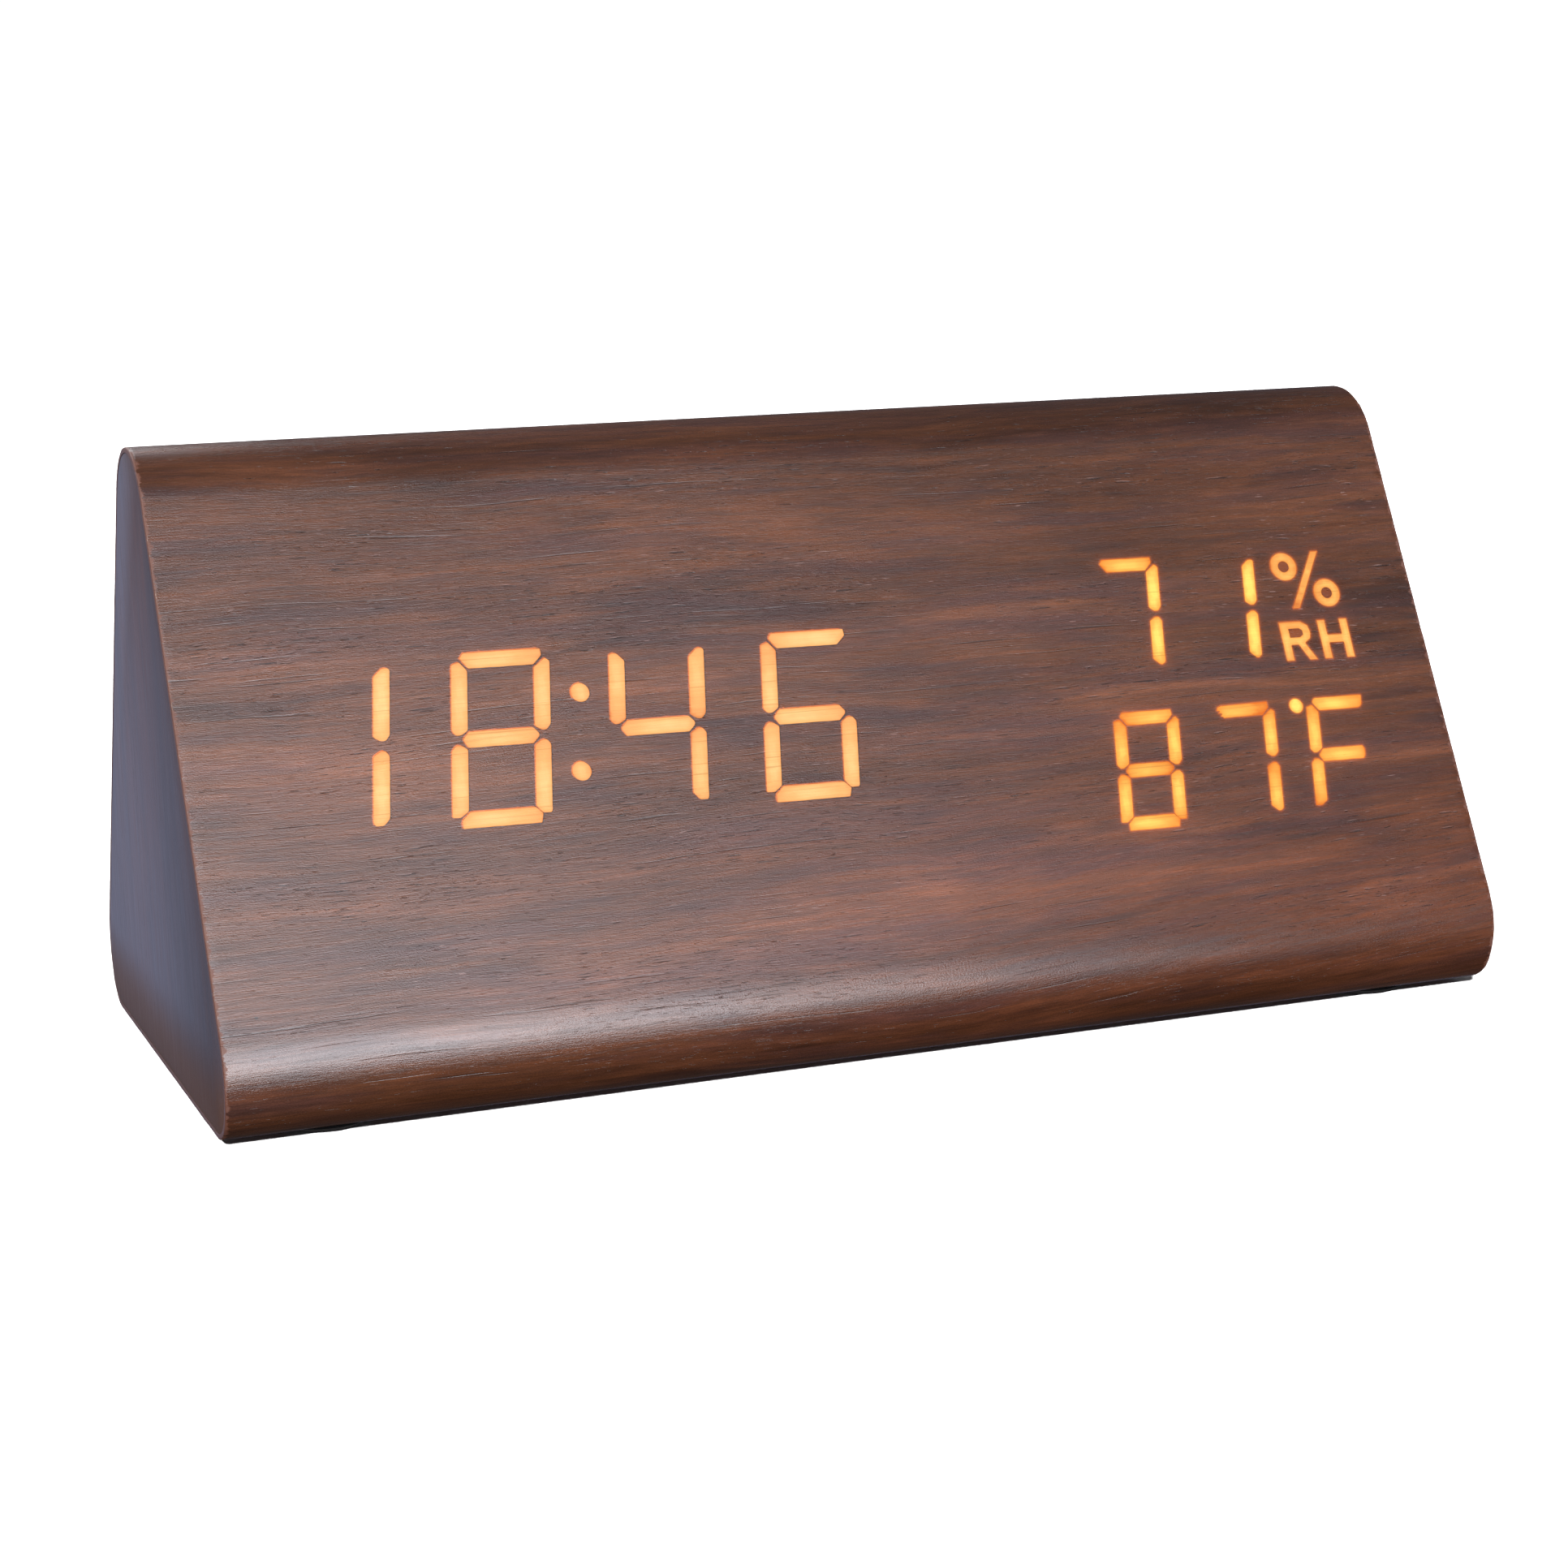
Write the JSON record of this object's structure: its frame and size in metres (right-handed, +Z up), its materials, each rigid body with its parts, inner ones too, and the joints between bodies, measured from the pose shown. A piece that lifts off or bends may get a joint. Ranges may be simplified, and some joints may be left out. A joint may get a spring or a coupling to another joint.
{
  "type": "wooden digital alarm clock",
  "caption": "Wooden digital alarm clock of rounded triangular section: lit time, humidity and temperature behind walnut veneer, rear panel with buttons, power inlet and battery bay.",
  "frame": {"origin": "on the table under the middle of the body, at the underside of the feet", "axes": "+X along the body towards the right end as seen from the front, -Y the way the display faces, +Z up"},
  "size_m": [0.15, 0.072, 0.07],
  "materials": {
    "wood_board": "raw pressed wood board",
    "walnut_veneer": "satin dark walnut grain",
    "foot_rubber": "matte black",
    "orange_light": "lit translucent orange",
    "yellow_light": "lit translucent amber yellow",
    "white_plastic": "matte white",
    "circuit_board": "green solder resist",
    "screw_steel": "zinc plated",
    "chip_resin": "black moulding resin",
    "ribbon_sleeve": "grey flat cable sleeve",
    "black_plastic": "fine grained black moulding",
    "cell_sleeve": "printed sleeve, plain",
    "contact_nickel": "nickel plated",
    "button_plastic": "smooth dark grey moulding"
  },
  "bodies": {
    "clock_body": {"wood_core": "wood_board", "veneer_wrap": "walnut_veneer", "left_end_veneer": "walnut_veneer", "right_end_veneer": "walnut_veneer", "front_left_foot": "foot_rubber", "front_right_foot": "foot_rubber", "rear_left_foot": "foot_rubber", "rear_right_foot": "foot_rubber", "hour_digits": "orange_light", "colon_dots": "orange_light", "minute_digits": "orange_light", "humidity_digits": "yellow_light", "humidity_unit": "orange_light", "temperature_digits": "yellow_light", "temperature_unit": "yellow_light", "display_reflector": "white_plastic", "display_board": "circuit_board", "display_board_screw_1": "screw_steel", "display_board_screw_2": "screw_steel", "display_board_screw_3": "screw_steel", "display_board_screw_4": "screw_steel", "display_driver": "chip_resin", "display_ribbon_socket": "white_plastic", "ribbon_cable": "ribbon_sleeve", "rear_panel": "black_plastic", "rear_panel_screw_1": "screw_steel", "rear_panel_screw_2": "screw_steel", "rear_panel_screw_3": "screw_steel", "rear_panel_screw_4": "screw_steel", "battery_cell_1": "cell_sleeve", "battery_cell_2": "cell_sleeve", "battery_cell_3": "cell_sleeve", "battery_spring_1": "contact_nickel", "battery_spring_2": "contact_nickel", "battery_spring_3": "contact_nickel", "negative_contact": "contact_nickel", "lower_link_contact": "contact_nickel", "upper_link_contact": "contact_nickel", "positive_contact": "contact_nickel", "main_board": "circuit_board", "main_board_screw_1": "screw_steel", "main_board_screw_2": "screw_steel", "up_switch": "chip_resin", "set_switch": "chip_resin", "down_switch": "chip_resin", "power_inlet": "black_plastic", "buzzer": "chip_resin", "microphone": "contact_nickel", "air_sensor": "white_plastic", "microcontroller": "chip_resin", "clock_crystal": "contact_nickel", "main_ribbon_socket": "white_plastic"},
    "battery_door": {"battery_door": "black_plastic"},
    "up_button": {"up_button": "button_plastic"},
    "set_button": {"set_button": "button_plastic"},
    "down_button": {"down_button": "button_plastic"}
  },
  "joints": [
    {"name": "battery_door_hinge", "type": "hinge", "parent": "clock_body", "child": "battery_door", "pos_m": [0.0225, 0.0279, 0.02298], "axis": [-1, 0, 0], "range_deg": [0, 90]},
    {"name": "up_button_press", "type": "slide", "parent": "clock_body", "child": "up_button", "axis": [0, -0.891, -0.4539], "range_m": [0, 0.0006], "stiffness_N_per_m": 400},
    {"name": "set_button_press", "type": "slide", "parent": "clock_body", "child": "set_button", "axis": [0, -0.891, -0.4539], "range_m": [0, 0.0006], "stiffness_N_per_m": 400},
    {"name": "down_button_press", "type": "slide", "parent": "clock_body", "child": "down_button", "axis": [0, -0.891, -0.4539], "range_m": [0, 0.0006], "stiffness_N_per_m": 400}
  ]
}
